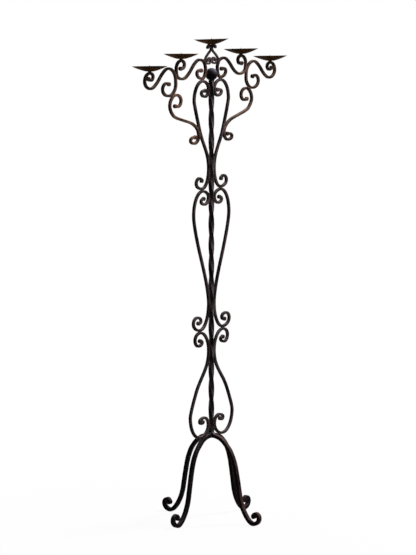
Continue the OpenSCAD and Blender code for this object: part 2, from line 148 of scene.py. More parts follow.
# %% Forged iron
def forged_iron(name, black="#0b0709", brown="#56494a", worn_and_highlight="#e5c6b9", dust_and_top_light="#92868d",
                edge_wear_and_highlight=0.8, dust_and_top_light_amount=0.5, rough=0.5):
    """Black scale under wax. The corners take a colour that is partly wear and partly painted highlight, and
    the upward faces one that is partly dust and partly painted light from above; edge_wear_and_highlight and
    dust_and_top_light_amount say how much of each shows.
    """
    made, tree = blank_material(name)
    place = add(tree, "ShaderNodeTexCoord").outputs["Object"]
    clouds = add(tree, "ShaderNodeTexNoise", {"Vector": place, "Scale": 1 / 0.060, "Detail": 3.0})
    blotch = add(tree, "ShaderNodeTexNoise", {"Vector": place, "Scale": 1 / 0.009, "Detail": 4.0})
    pores = add(tree, "ShaderNodeTexNoise", {"Vector": place, "Scale": 1 / 0.0015, "Detail": 2.0})

    tone = add(tree, "ShaderNodeMapRange", {0: clouds, 1: 0.37, 2: 0.6})
    skin = add(tree, "ShaderNodeMix", {0: tone, 6: colour(black), 7: colour(brown)}, data_type="RGBA")

    # Pale corners: partly wear, partly a painted highlight along the edges.
    corner = add(tree, "ShaderNodeAttribute", attribute_name="corner")
    patchy = add(tree, "ShaderNodeMapRange", {0: blotch, 1: 0.3, 2: 0.75, 4: edge_wear_and_highlight})
    wear_and_highlight_mask = add(tree, "ShaderNodeMath", {0: corner.outputs["Fac"], 1: patchy}, operation="MULTIPLY")
    skin = add(tree, "ShaderNodeMix", {0: wear_and_highlight_mask, 6: skin.outputs[2], 7: colour(worn_and_highlight)}, data_type="RGBA")

    # Upward faces painted lighter: partly dust, partly painted light from above.
    facing = add(tree, "ShaderNodeSeparateXYZ", {0: add(tree, "ShaderNodeNewGeometry").outputs["Normal"]})
    dust_and_top_light_mask = add(tree, "ShaderNodeMapRange", {0: facing.outputs["Z"], 1: 0.1, 2: 0.95, 4: dust_and_top_light_amount})
    dust_and_top_light_mask = add(tree, "ShaderNodeMath", {0: dust_and_top_light_mask, 1: blotch}, operation="MULTIPLY")
    skin = add(tree, "ShaderNodeMix", {0: dust_and_top_light_mask, 6: skin.outputs[2], 7: colour(dust_and_top_light)}, data_type="RGBA")

    dull = add(tree, "ShaderNodeMapRange", {0: blotch, 1: 0.3, 2: 0.7, 3: rough - 0.08, 4: rough + 0.12})
    bump = add(tree, "ShaderNodeBump", {"Height": pores, "Strength": 0.6, "Distance": 0.00012})
    bump = add(tree, "ShaderNodeBump", {"Height": blotch, "Strength": 0.5, "Distance": 0.0004,
                                        "Normal": bump})
    shader = add(tree, "ShaderNodeBsdfPrincipled", {
        "Base Color": skin.outputs[2], "Metallic": 0.0, "Roughness": dull, "Normal": bump,
        "Specular IOR Level": 0.02,
    })
    add(tree, "ShaderNodeOutputMaterial", {"Surface": shader})
    return made


scroll_iron = forged_iron("waxed_forged_iron")
# The arms get a browner, paler copy and the legs a blacker one: partly their own colour, partly painted light
# on the upper stand and painted shade low down.
arm_iron = forged_iron("waxed_forged_iron_arms", black="#070404", brown="#624e46", worn_and_highlight="#efc2a2",
                       dust_and_top_light="#a48d84", edge_wear_and_highlight=0.9)
rusty_iron = forged_iron("thinly_waxed_iron", black="#251612", brown="#806254", worn_and_highlight="#fed0b4",
                         dust_and_top_light="#a78679", edge_wear_and_highlight=0.9)
leg_iron = forged_iron("waxed_forged_iron_legs", black="#040205", brown="#211c21", worn_and_highlight="#98796f",
                       dust_and_top_light="#736a77", dust_and_top_light_amount=0.4)
# The front leg, which faces the right-hand lamp, gets a browner, paler copy: partly rust, partly painted
# light.
front_leg_rust_and_light = forged_iron("rusty_and_painted_lit_iron_leg", black="#040205", brown="#4c3638", worn_and_highlight="#c69e93",
                             dust_and_top_light="#8b7d81", dust_and_top_light_amount=0.4)
# The post's very pale corners are mostly a painted highlight along the ridges of the twist, with some wear.
post_iron = forged_iron("waxed_forged_iron_post", black="#090709", brown="#62575f", worn_and_highlight="#e9d3ca",
                        dust_and_top_light="#8b8187", edge_wear_and_highlight=1.0)
# The ball's pale bluish top is a painted highlight, with a little dust.
ball_iron = forged_iron("waxed_forged_iron_ball", black="#0c090f", brown="#443b40", worn_and_highlight="#7c6a61",
                        dust_and_top_light="#aba7bb", dust_and_top_light_amount=0.7, rough=0.42)
weld_iron = forged_iron("blackened_weld_iron", black="#1f181c", brown="#695d5f", worn_and_highlight="#ab9c92",
                        dust_and_top_light="#b8adb2")
pricket_iron = forged_iron("worn_pricket_iron", brown="#625248", worn_and_highlight="#b49682", dust_and_top_light_amount=0.3)
print("iron finishes:", [m.name for m in bpy.data.materials])

# %% [markdown]
# ## The finishes of the pans
# A pan is beaten from sheet iron. Outside it is black with an olive-brown cast and light specks
# where scale has flaked off. Inside, years of candles have left a thin pale film of wax, a little
# pink, on the slope below the rim. Towards the bottom, round the pricket, the inside turns dark
# brown: partly bare iron, partly painted shade in the hollow of the dish. Wax is much brighter
# than the iron, so the inside reads pale, but soot and dust have dulled it, and it stays below
# white on the slopes that face the strongest light.

# %% Pan finishes
def pan_outside():
    """Blackened sheet iron, olive-brown, with pale flakes taken from a pattern of 4 mm."""
    made, tree = blank_material("blackened_sheet_iron")
    place = add(tree, "ShaderNodeTexCoord").outputs["Object"]
    clouds = add(tree, "ShaderNodeTexNoise", {"Vector": place, "Scale": 1 / 0.030, "Detail": 3.0})
    flakes = add(tree, "ShaderNodeTexNoise", {"Vector": place, "Scale": 1 / 0.004, "Detail": 3.0})
    tone = add(tree, "ShaderNodeMapRange", {0: clouds, 1: 0.35, 2: 0.68})
    skin = add(tree, "ShaderNodeMix", {0: tone, 6: colour("#140c07"), 7: colour("#986a3d")},
               data_type="RGBA")
    speck = add(tree, "ShaderNodeMapRange", {0: flakes, 1: 0.58, 2: 0.74, 4: 0.4})
    skin = add(tree, "ShaderNodeMix", {0: speck, 6: skin.outputs[2], 7: colour("#b4925f")},
               data_type="RGBA")
    bump = add(tree, "ShaderNodeBump", {"Height": flakes, "Strength": 0.5, "Distance": 0.0003})
    shader = add(tree, "ShaderNodeBsdfPrincipled", {
        "Base Color": skin.outputs[2], "Roughness": 0.6, "Normal": bump, "Specular IOR Level": 0.02,
    })
    add(tree, "ShaderNodeOutputMaterial", {"Surface": shader})
    return made


def pan_inside_finish():
    """Old candle wax on sheet iron: a pale film near the rim, turning dark brown in the bottom, partly bare
    iron and partly painted shade.
    """
    made, tree = blank_material("candle_wax_film")
    place = add(tree, "ShaderNodeTexCoord").outputs["Object"]
    pools = add(tree, "ShaderNodeTexNoise", {"Vector": place, "Scale": 1 / 0.012, "Detail": 3.0})
    film = add(tree, "ShaderNodeMapRange", {0: pools, 1: 0.3, 2: 0.7})
    wax = add(tree, "ShaderNodeMix", {0: film, 6: colour("#a3897f"), 7: colour("#c6b1a8")},
              data_type="RGBA")
    high = add(tree, "ShaderNodeAttribute", attribute_name="inside")
    ragged = add(tree, "ShaderNodeMath", {0: film, 1: 0.06, 2: high.outputs["Fac"]},
                 operation="MULTIPLY_ADD")
    # Darker towards the bottom of the dish: partly bare iron, partly painted shade in the hollow.
    bare = add(tree, "ShaderNodeMapRange", {0: ragged, 1: 0.64, 2: 0.76},
               interpolation_type="SMOOTHSTEP")
    skin = add(tree, "ShaderNodeMix", {0: bare, 6: colour("#5d4c40"), 7: wax.outputs[2]},
               data_type="RGBA")
    bump = add(tree, "ShaderNodeBump", {"Height": pools, "Strength": 0.4, "Distance": 0.0006})
    shader = add(tree, "ShaderNodeBsdfPrincipled", {
        "Base Color": skin.outputs[2], "Roughness": 0.7, "IOR": 1.44, "Normal": bump,
        "Specular IOR Level": 0.1,
    })
    add(tree, "ShaderNodeOutputMaterial", {"Surface": shader})
    return made


sheet_iron = pan_outside()
wax_film = pan_inside_finish()
print("pan finishes:", sheet_iron.name, "and", wax_film.name)

# %% [markdown]
# ## The sizes
# The stand was drawn in millimetres, so this lesson counts in millimetres too and only turns them
# into Blender's metres at the last moment. The marks that it adds, such as dents, are in metres.
# The heights of the contacts between the scrolls are sizes of their own, because a smith sets
# those out on the bench before bending a single bar.

# %% Sizes in millimetres
MM = 0.001
STAND_H = 1650
INNER_REACH, OUTER_REACH = 162, 326
INNER_RIM, OUTER_RIM = STAND_H - 41, STAND_H - 73.5
POST_BAR, SCROLL_BAR, HEART_BAR, LEG_BAR = 15, 9, 6.75, 13.5
QUARTER_TURNS = 17
TIP_SWELL, FOOT_SWELL = 1.6, 1.3
HUB_H, FOOT_REACH, FOOT_WEAR, PLAIN_END = 291, 182, 0.5, 8
LOWER_JOINT_H, UPPER_JOINT_H = 659, 1142
LOWER_BULGE, MIDDLE_BULGE, UPPER_BULGE = 115, 96, 93
BALL_D = 43
BALL_Z = STAND_H - 119
PAN_D, PAN_DEPTH, PAN_T, FLOOR_D = 119, 17, 1.5, 30
COLLAR_D, COLLAR_H = 12, 2
PRICKET_H, PRICKET_D, SHOULDER_D, SHOULDER_T, SEAT_SINK, POINT_L = 20, 4, 9, 1.5, 0.4, 9
POST_CORNER = POST_BAR / math.sqrt(2)
BESIDE_POST = POST_CORNER + SCROLL_BAR / 2
BALL_SEAT = math.sqrt((BALL_D / 2) ** 2 - POST_CORNER ** 2)
print("post top at", round(BALL_Z - BALL_SEAT, 1), "mm")
print("a bar beside the post at", round(BESIDE_POST, 1), "mm")

# %% [markdown]
# ## The path of a bar
# A scroll is drawn the way a smith describes it: the bar passes this place, running this way. Each
# such station is a reach from the post, a height and a heading in degrees. Between two stations
# runs one Bezier curve. Where the headings meet in a corner ahead, the handles are those of a
# round arc; in an S bend they are a share of the distance. So a few stations give a smooth bar.

# %% From stations to points
def way(degrees):
    """The unit vector of a heading."""
    return Vector((math.cos(math.radians(degrees)), math.sin(math.radians(degrees))))


S_BEND = 0.4  # the share of the distance between two stations that a handle has in an S bend
NEARLY_PARALLEL = 0.05  # the sine of the turn under which two headings never meet usefully


def handles(a, b):
    """Lengths of the two handles of the curve from station a to station b."""
    step = Vector(b[:2]) - Vector(a[:2])
    chord = step.length
    cross = way(a[2]).cross(way(b[2]))
    if abs(cross) >= NEARLY_PARALLEL:
        first, last = step.cross(way(b[2])) / cross, way(a[2]).cross(step) / cross
        if first > 0 and last > 0 and max(first, last) < 3 * chord:
            turn = way(a[2]).angle(way(b[2]))
            share = 4 / 3 * math.tan(turn / 4) / math.tan(turn / 2)
            return share * first, share * last
    return S_BEND * chord, S_BEND * chord


def bar_path(stations, ring=1.4):
    """Points along the middle of a bar, about one every ring millimetres."""
    points = []
    for a, b in zip(stations, stations[1:]):
        first, last = handles(a, b)
        start, end = Vector(a[:2]), Vector(b[:2])
        knots = start, start + first * way(a[2]), end - last * way(b[2]), end
        rough = interpolate_bezier(*knots, 17)
        length = sum((v - w).length for v, w in zip(rough, rough[1:]))
        points += interpolate_bezier(*knots, max(4, round(length / ring)) + 1)[:-1]
    return points + [Vector(stations[-1][:2])]


trial = bar_path([[0, 0, 0], [50, 50, 90]])
print("a quarter circle of radius 50 has", len(trial), "points")

# %% [markdown]
# ## Where the bars touch
# Two scrolls that touch share one point and one direction, and each lies half its own thickness
# away from it. Writing the contact down once, and taking both bars from it, keeps them in touch
# whatever their sizes. The numbers are the ones that the exact solids were drawn with.

# %% Contacts
def touching(place, slope, bar, side, heading):
    """The station of a bar that touches a contact line at a place, on one side of it."""
    return [place[0] - side * math.sin(math.radians(slope)) * bar / 2,
            place[1] + side * math.cos(math.radians(slope)) * bar / 2, heading]


LEG_CONTACT, LEG_DIP = (42, HUB_H - 0.2), -24
LOWER_CONTACT = (62, LOWER_JOINT_H)
UPPER_CONTACT = (50, UPPER_JOINT_H)
UPPER_WAIST_Z = UPPER_JOINT_H + 0.18 * (BALL_Z - UPPER_JOINT_H)
UPPER_BULGE_Z = BALL_Z - 0.22 * (BALL_Z - UPPER_JOINT_H)
FOOT_SHARE = 0.56  # of the way from the waist to the bulge, where a brace starts
FOOT_BOW = 8.5  # how far the scroll bows out beyond the straight line there
FOOT_X = BESIDE_POST + FOOT_SHARE * (UPPER_BULGE - BESIDE_POST) + FOOT_BOW
FOOT_Z = UPPER_WAIST_Z + FOOT_SHARE * (UPPER_BULGE_Z - UPPER_WAIST_Z)
FOOT_RISE = math.degrees(math.atan2(UPPER_BULGE_Z - UPPER_WAIST_Z, UPPER_BULGE - BESIDE_POST))
BRACE_TOP, BRACE_FALL = (INNER_REACH + 44, BALL_Z - 58), -35
ARM_CONTACT, ARM_RISE = (INNER_REACH + 27, BALL_Z + 5.5), 70
CROWN_CONTACT = (49, BALL_Z - 16.5)
HEART_CONTACT, HEART_RISE = (35.5, BALL_Z + 44), 57
print("the brace leaves the upper scroll at", round(FOOT_X, 1), round(FOOT_Z, 1), "mm")

# %% [markdown]
# ## The legs and the three pairs of scrolls
# A leg leaves the post level, drops steeply and runs out into a foot that is rolled up on itself.
# The lower and the middle scroll are C shapes back to back, joined by their curls, and the upper
# one opens under the ball. Each table lists its stations from one end of the bar to the other.

# %% Stations of legs and scrolls
LEG = [
    [POST_BAR / 2, HUB_H, 0], touching(LEG_CONTACT, LEG_DIP, LEG_BAR, -1, LEG_DIP),
    [FOOT_REACH - 104, HUB_H - 40, -50], [FOOT_REACH - 78, HUB_H - 95, -74],
    [FOOT_REACH - 58, HUB_H - 194, -80], [FOOT_REACH - 33, 33.5, -56],
    [FOOT_REACH, LEG_BAR / 2 - FOOT_WEAR, 0], [FOOT_REACH + 26, 28, 90],
    [FOOT_REACH + 12, 42, 180], [FOOT_REACH + 3.5, 33, 263],
]
LOWER = [
    [62.5, LOWER_JOINT_H - 32.5, 170], [51, LOWER_JOINT_H - 39, -90], [70, LOWER_JOINT_H - 49.5, 0],
    [89, LOWER_JOINT_H - 28, 90], touching(LOWER_CONTACT, 0, SCROLL_BAR, -1, 180),
    [BESIDE_POST, LOWER_JOINT_H - 72, -90], [LOWER_BULGE - 30, HUB_H + 156, -65],
    [LOWER_BULGE, HUB_H + 76, -90], [62, HUB_H + 1, 180],
    touching(LEG_CONTACT, LEG_DIP, SCROLL_BAR, 1, 180 + LEG_DIP), [BESIDE_POST + 2, HUB_H + 40, 90],
    [41, HUB_H + 67.5, 0], [64, HUB_H + 56, -90], [55.5, HUB_H + 49, 180],
    [47.5, HUB_H + 53, 135],
]
MIDDLE = [
    [42.5, UPPER_JOINT_H - 30.5, 0], [55.5, UPPER_JOINT_H - 39, -90], [37, UPPER_JOINT_H - 50, 180],
    [BESIDE_POST + 1, UPPER_JOINT_H - 27, 90], touching(UPPER_CONTACT, 0, SCROLL_BAR, -1, 0),
    [MIDDLE_BULGE, UPPER_JOINT_H - 84, -90],
    [MIDDLE_BULGE - 44, (UPPER_JOINT_H + LOWER_JOINT_H) / 2 - 4, -110],
    [BESIDE_POST, LOWER_JOINT_H + 92, -90], touching(LOWER_CONTACT, 0, SCROLL_BAR, 1, 0),
    [98, LOWER_JOINT_H + 30.5, 90], [78, LOWER_JOINT_H + 49.5, 180],
    [57, LOWER_JOINT_H + 36, -90], [71, LOWER_JOINT_H + 29, 10],
]
UPPER = [
    [32.5, BALL_Z - 54, 10], [54, BALL_Z - 61.5, -90], [33, BALL_Z - 73.5, 180],
    [BESIDE_POST + 1, BALL_Z - 48, 90], touching(CROWN_CONTACT, 0, SCROLL_BAR, -1, 0),
    [UPPER_BULGE, UPPER_BULGE_Z, -90],
    touching((FOOT_X, FOOT_Z), FOOT_RISE, SCROLL_BAR, 1, FOOT_RISE - 180),
    [BESIDE_POST, UPPER_WAIST_Z, -90], touching(UPPER_CONTACT, 0, SCROLL_BAR, 1, 0),
    [82, UPPER_JOINT_H + 24, 90], [66, UPPER_JOINT_H + 41, 180], [53, UPPER_JOINT_H + 32, -105],
]
print("stations:", {"leg": len(LEG), "lower": len(LOWER), "middle": len(MIDDLE), "upper": len(UPPER)})

# %% [markdown]
# ## The arms, their braces and the heart
# The arms come off the crown in two waves. Each ends in a curl that holds a pan on its back, so
# both arms share one recipe for that curl. A brace springs from the upper scroll to carry the
# outer arm, and two thin bars bent like a heart lift the middle pan above the ball.

# %% Stations of the arms, the brace and the heart
def pan_curl(reach, under, deep, tip, heading):
    """The end of an arm: it rises outside the pan's middle, passes under it and curls in to its tip."""
    top = under - COLLAR_H - SCROLL_BAR / 2
    return [[reach + 26, top - 26, 90], [reach, top, 180], [reach - 17, top - deep / 2 - 0.5, -90],
            [reach - 5, top - deep, 0], [reach + tip[0], top - deep + tip[1], heading]]


BRACE = [
    [FOOT_X + 19.5, FOOT_Z - 19, 8], [FOOT_X + 45, FOOT_Z - 29, -90], [FOOT_X + 24.5, FOOT_Z - 39.5, 180],
    [FOOT_X + 1.5, FOOT_Z - 15, 90], touching((FOOT_X, FOOT_Z), FOOT_RISE, SCROLL_BAR, -1, FOOT_RISE),
    [FOOT_X + 38.5, FOOT_Z + 29, 25], [BRACE_TOP[0] - 41, BRACE_TOP[1] - 84, 15],
    [BRACE_TOP[0] - 3, BRACE_TOP[1] - 69, 42], [BRACE_TOP[0] + 16, BRACE_TOP[1] - 36, 90],
    touching(BRACE_TOP, BRACE_FALL, SCROLL_BAR, -1, 180 + BRACE_FALL),
    [BRACE_TOP[0] - 18, BRACE_TOP[1] - 0.5, 180], [BRACE_TOP[0] - 43, BRACE_TOP[1] - 21, -90],
    [BRACE_TOP[0] - 25, BRACE_TOP[1] - 40, 0], [BRACE_TOP[0] - 12, BRACE_TOP[1] - 37.5, 18],
]
INNER_ARM = [
    [56, BALL_Z + 15.5, 18], [78, BALL_Z + 6.5, -92],
    touching(CROWN_CONTACT, 0, SCROLL_BAR, 1, 180), [32, BALL_Z + 21, 90],
    touching(HEART_CONTACT, HEART_RISE, SCROLL_BAR, -1, HEART_RISE), [67, BALL_Z + 52, 0],
    [INNER_REACH - 54, BALL_Z + 23, -50], [INNER_REACH - 8, BALL_Z - 7, 0],
    touching(ARM_CONTACT, ARM_RISE, SCROLL_BAR, 1, ARM_RISE),
] + pan_curl(INNER_REACH, INNER_RIM - PAN_DEPTH, 27, (3, 0.5), 10)
OUTER_ARM = [
    [INNER_REACH + 65, BALL_Z - 20, 24], [INNER_REACH + 77, BALL_Z - 16.5, 0],
    [INNER_REACH + 97.5, BALL_Z - 36, -90], [INNER_REACH + 66, BALL_Z - 59, 180],
    touching(BRACE_TOP, BRACE_FALL, SCROLL_BAR, 1, 180 + BRACE_FALL), [INNER_REACH + 28.5, BALL_Z - 23, 90],
    touching(ARM_CONTACT, ARM_RISE, SCROLL_BAR, -1, ARM_RISE), [INNER_REACH + 69, BALL_Z + 32, 0],
    [OUTER_REACH - 51, BALL_Z + 2, -50], [OUTER_REACH - 5, BALL_Z - 29.5, 0],
] + pan_curl(OUTER_REACH, OUTER_RIM - PAN_DEPTH, 24, (7, 5.5), 55)
HEART_TOP = STAND_H - PAN_DEPTH - HEART_BAR / 2
HEART = [
    [19.5, BALL_Z + 48, 95], [11.5, BALL_Z + 55.5, 180], [HEART_BAR / 2 + 0.1, BALL_Z + 45.5, -90],
    [17.5, BALL_Z + 36.5, 0], touching(HEART_CONTACT, HEART_RISE, HEART_BAR, 1, HEART_RISE),
    [34.5, BALL_Z + 51, 92], [12, STAND_H - 44.5, 143], [HEART_BAR / 2, STAND_H - 33.5, 90],
    [13, HEART_TOP, 0], [20.5, HEART_TOP - 7, -95],
]
inner_path = bar_path(INNER_ARM)
print("inner arm:", round(sum((v - w).length for v, w in zip(inner_path, inner_path[1:]))), "mm of bar")

# %% [markdown]
# ## One node tree for every bar
# All these bars follow one rule: a square section travels along a path. That is work for Geometry
# Nodes. The path comes in as a thin line, a ring of 24 points is carried along it, and every point
# is then put where a square with rounded corners has it. Near a tip the bar swells into the roll
# that a smith leaves there, which is a plain circle seen from the side. A twist turns the section,
# noise presses shallow hammer marks into the faces, and the corners are marked for the wear and
# for a painted highlight along the edges.

# %% The tree's inputs
def inputs_of(tree, sizes, materials, output):
    """Gives a tree its geometry and its named inputs, and returns the sockets inside it."""
    face = tree.interface
    face.new_socket("Line", in_out="INPUT", socket_type="NodeSocketGeometry")
    for name, value in sizes.items():
        sort = "NodeSocketVector" if isinstance(value, tuple) else "NodeSocketFloat"
        face.new_socket(name, in_out="INPUT", socket_type=sort).default_value = value
    for name in materials:
        face.new_socket(name, in_out="INPUT", socket_type="NodeSocketMaterial")
    face.new_socket(output, in_out="OUTPUT", socket_type="NodeSocketGeometry")
    return add(tree, "NodeGroupInput").outputs


bar_tree = bpy.data.node_groups.new("Forged bar", "GeometryNodeTree")
bar_in = inputs_of(bar_tree, {
    "Bar": 0.009, "Corner radius": 0.0008, "Tip swell": TIP_SWELL, "First tip": 1.0, "Last tip": 1.0,
    "Twist": 0.0, "Twist from": 0.0, "Twist to": 1.0, "Dent depth": 0.0002, "Dent size": 0.017,
    "Seed": 0.0, "Across": (0.0, 1.0, 0.0),
}, ["Finish"], "Bar")
print("inputs of the bar tree:", len(bar_in) - 1)

# %% [markdown]
# ### Carrying the ring along the line
# Before the ring is carried, each point of the line writes down where it is, which way it runs and
# how far it is from both ends. The ring writes down its own flat place. After Curve to Mesh every
# point of the bar knows both, and that is all the later steps need.

# %% The line, the ring and the sweep
RING_POINTS = 24
line = add(bar_tree, "GeometryNodeMeshToCurve", {"Mesh": bar_in["Line"]})
run = add(bar_tree, "GeometryNodeSplineParameter").outputs["Length"]
whole = add(bar_tree, "GeometryNodeSplineLength").outputs["Length"]
left = add(bar_tree, "ShaderNodeMath", {0: whole, 1: run}, operation="SUBTRACT")
kept = add(bar_tree, "GeometryNodeCaptureAttribute", {
    "Geometry": line, "Centre": add(bar_tree, "GeometryNodeInputPosition"),
    "Along": add(bar_tree, "GeometryNodeInputTangent"), "Run": run, "Left": left,
}, keeps={"Centre": "VECTOR", "Along": "VECTOR", "Run": "FLOAT", "Left": "FLOAT"}).outputs
ring = add(bar_tree, "GeometryNodeCurvePrimitiveCircle", {"Resolution": RING_POINTS, "Radius": 1.0})
flat = add(bar_tree, "GeometryNodeCaptureAttribute", {
    "Geometry": ring, "Flat": add(bar_tree, "GeometryNodeInputPosition"),
}, keeps={"Flat": "VECTOR"}).outputs
swept = add(bar_tree, "GeometryNodeCurveToMesh", {
    "Curve": kept["Geometry"], "Profile Curve": flat["Geometry"],
})
print("the sweep keeps:", [socket.name for socket in kept if socket.name])

# %% [markdown]
# ### A square with rounded corners
# Raising both coordinates of a circle to a small power pushes its points out towards a square. The
# smaller the power, the tighter the corner. For a corner radius r on a bar b the power that fits
# is -2 log2(1 - 0.586 r / b), because it brings both coordinates of the point on the diagonal in
# by just 0.293 r.

# %% The section
cut = add(bar_tree, "ShaderNodeMath", {0: bar_in["Corner radius"], 1: bar_in["Bar"]}, operation="DIVIDE")
cut = add(bar_tree, "ShaderNodeMath", {0: cut, 1: -0.586, 2: 1.0}, operation="MULTIPLY_ADD")
cut = add(bar_tree, "ShaderNodeMath", {0: cut, 1: 2.0}, operation="LOGARITHM")
power = add(bar_tree, "ShaderNodeMath", {0: cut, 1: -2.0}, operation="MULTIPLY")
power = add(bar_tree, "ShaderNodeCombineXYZ", {0: power, 1: power, 2: 1.0})
size = add(bar_tree, "ShaderNodeVectorMath", {0: flat["Flat"]}, operation="ABSOLUTE")
on_circle = add(bar_tree, "ShaderNodeSeparateXYZ", {0: size}).outputs
size = add(bar_tree, "ShaderNodeVectorMath", {0: size, 1: power}, operation="POWER")
sign = add(bar_tree, "ShaderNodeVectorMath", {0: flat["Flat"]}, operation="SIGN")
square = add(bar_tree, "ShaderNodeVectorMath", {0: size, 1: sign}, operation="MULTIPLY")
square = add(bar_tree, "ShaderNodeSeparateXYZ", {0: square}).outputs
print("nodes so far:", len(bar_tree.nodes))

# %% [markdown]
# ### The rolled tips
# A tip is a circle of radius R = swell times half the bar, and the line runs on to the circle's
# far side. At a distance e from the centre the roll is sqrt(R^2 - e^2) thick on each side. The bar
# itself only starts at the centre, so the thickness is the larger of the roll and the bar.

# %% Thickness along the bar
half = add(bar_tree, "ShaderNodeMath", {0: bar_in["Bar"], 1: 0.5}, operation="MULTIPLY")
roll = add(bar_tree, "ShaderNodeMath", {0: half, 1: bar_in["Tip swell"]}, operation="MULTIPLY")
thick = half
ends = (kept["Run"], bar_in["First tip"]), (kept["Left"], bar_in["Last tip"])
for distance, wanted in ends:
    past = add(bar_tree, "ShaderNodeMath", {0: distance, 1: roll}, operation="SUBTRACT")
    before = add(bar_tree, "ShaderNodeMath", {0: past, 1: -1e-6}, operation="LESS_THAN")
    before = add(bar_tree, "ShaderNodeMath", {0: before, 1: wanted}, operation="MULTIPLY")
    bare = add(bar_tree, "ShaderNodeMath", {0: 1.0, 1: before}, operation="SUBTRACT")
    thick = add(bar_tree, "ShaderNodeMath", {0: thick, 1: bare}, operation="MULTIPLY")
for distance, wanted in ends:
    past = add(bar_tree, "ShaderNodeMath", {0: distance, 1: roll}, operation="SUBTRACT")
    past = add(bar_tree, "ShaderNodeMath", {0: past, 1: past}, operation="MULTIPLY")
    round_ = add(bar_tree, "ShaderNodeMath", {0: roll, 1: roll}, operation="MULTIPLY")
    round_ = add(bar_tree, "ShaderNodeMath", {0: round_, 1: past}, operation="SUBTRACT")
    round_ = add(bar_tree, "ShaderNodeMath", {0: round_, 1: 0.0}, operation="MAXIMUM")
    round_ = add(bar_tree, "ShaderNodeMath", {0: round_}, operation="SQRT")
    round_ = add(bar_tree, "ShaderNodeMath", {0: round_, 1: wanted}, operation="MULTIPLY")
    thick = add(bar_tree, "ShaderNodeMath", {0: thick, 1: round_}, operation="MAXIMUM")
print("nodes so far:", len(bar_tree.nodes))

# %% [markdown]
# ### Twist, hammer marks and the floor
# The section is laid across the line, and a twisted stretch turns it about the line. The hammer
# marks only press inwards, so no bar grows past its true size. At the very bottom the feet are
# worn flat, which is one Maximum on the height.

# %% Placing the points
ANYWHERE = 9.0  # metres, further out than any point, so only the height has a lower limit
side = add(bar_tree, "ShaderNodeVectorMath", {0: bar_in["Across"], 1: kept["Along"]},
           operation="CROSS_PRODUCT")
side = add(bar_tree, "ShaderNodeVectorMath", {0: side}, operation="NORMALIZE")
wide = add(bar_tree, "ShaderNodeMath", {0: square["X"], 1: thick}, operation="MULTIPLY")
deep = add(bar_tree, "ShaderNodeMath", {0: square["Y"], 1: half}, operation="MULTIPLY")
wide = add(bar_tree, "ShaderNodeVectorMath", {0: side, "Scale": wide}, operation="SCALE")
deep = add(bar_tree, "ShaderNodeVectorMath", {0: bar_in["Across"], "Scale": deep}, operation="SCALE")
out = add(bar_tree, "ShaderNodeVectorMath", {0: wide, 1: deep}, operation="ADD")
turned = add(bar_tree, "ShaderNodeMapRange", {
    0: kept["Run"], 1: bar_in["Twist from"], 2: bar_in["Twist to"], 3: 0.0, 4: bar_in["Twist"],
})
out = add(bar_tree, "ShaderNodeVectorRotate", {
    "Vector": out, "Center": (0.0, 0.0, 0.0), "Axis": kept["Along"], "Angle": turned,
})
place = add(bar_tree, "ShaderNodeVectorMath", {0: kept["Centre"], 1: out}, operation="ADD")
fine = add(bar_tree, "ShaderNodeMath", {0: 1.0, 1: bar_in["Dent size"]}, operation="DIVIDE")
dent = add(bar_tree, "ShaderNodeTexNoise", {
    "Vector": place, "W": bar_in["Seed"], "Scale": fine, "Detail": 1.0,
}, noise_dimensions="4D")
dent = add(bar_tree, "ShaderNodeMapRange", {0: dent, 1: 0.45, 2: 0.75, 4: bar_in["Dent depth"]},
           interpolation_type="SMOOTHSTEP")
dent = add(bar_tree, "ShaderNodeMath", {0: dent, 1: half}, operation="DIVIDE")
dent = add(bar_tree, "ShaderNodeMath", {0: 1.0, 1: dent}, operation="SUBTRACT")
out = add(bar_tree, "ShaderNodeVectorMath", {0: out, "Scale": dent}, operation="SCALE")
place = add(bar_tree, "ShaderNodeVectorMath", {0: kept["Centre"], 1: out}, operation="ADD")
place = add(bar_tree, "ShaderNodeVectorMath", {0: place, 1: (-ANYWHERE, -ANYWHERE, 0.0)}, operation="MAXIMUM")
print("nodes so far:", len(bar_tree.nodes))

# %% Corners for the wear and the painted edge highlight, and the finish
def finished(tree, shape, material):
    """The last steps of every tree: smooth shading, real geometry and its material."""
    shape = add(tree, "GeometryNodeSetShadeSmooth", {"Geometry": shape})
    shape = add(tree, "GeometryNodeRealizeInstances", {"Geometry": shape})
    return add(tree, "GeometryNodeSetMaterial", {"Geometry": shape, "Material": material})


MERGE = 0.00002  # metres, under which two points of a tree's result are one
# The corner mask feeds the pale corner colour, which is partly wear and partly a painted highlight.
edge = add(bar_tree, "ShaderNodeMath", {0: on_circle["X"], 1: on_circle["Y"]}, operation="MULTIPLY")
edge = add(bar_tree, "ShaderNodeMapRange", {0: edge, 1: 0.24, 2: 0.5}, interpolation_type="SMOOTHSTEP")
shape = add(bar_tree, "GeometryNodeSetPosition", {"Geometry": swept, "Position": place})
shape = add(bar_tree, "GeometryNodeStoreNamedAttribute", {"Geometry": shape, "Name": "corner", "Value": edge},
            data_type="FLOAT", domain="POINT")
shape = add(bar_tree, "GeometryNodeMergeByDistance", {"Geometry": shape, "Distance": MERGE})
add(bar_tree, "NodeGroupOutput", {0: finished(bar_tree, shape, bar_in["Finish"])})
print("the bar tree has", len(bar_tree.nodes), "nodes and", len(bar_tree.links), "links")

# %% [markdown]
# ## From a tree to a finished piece
# A tree does its work in a modifier. Once it has run, the result is taken out as a plain mesh, open
# ends are closed, and all faces are turned outwards. Each piece then stands in for the exact solid
# of the same name and rides on the stand's one body.

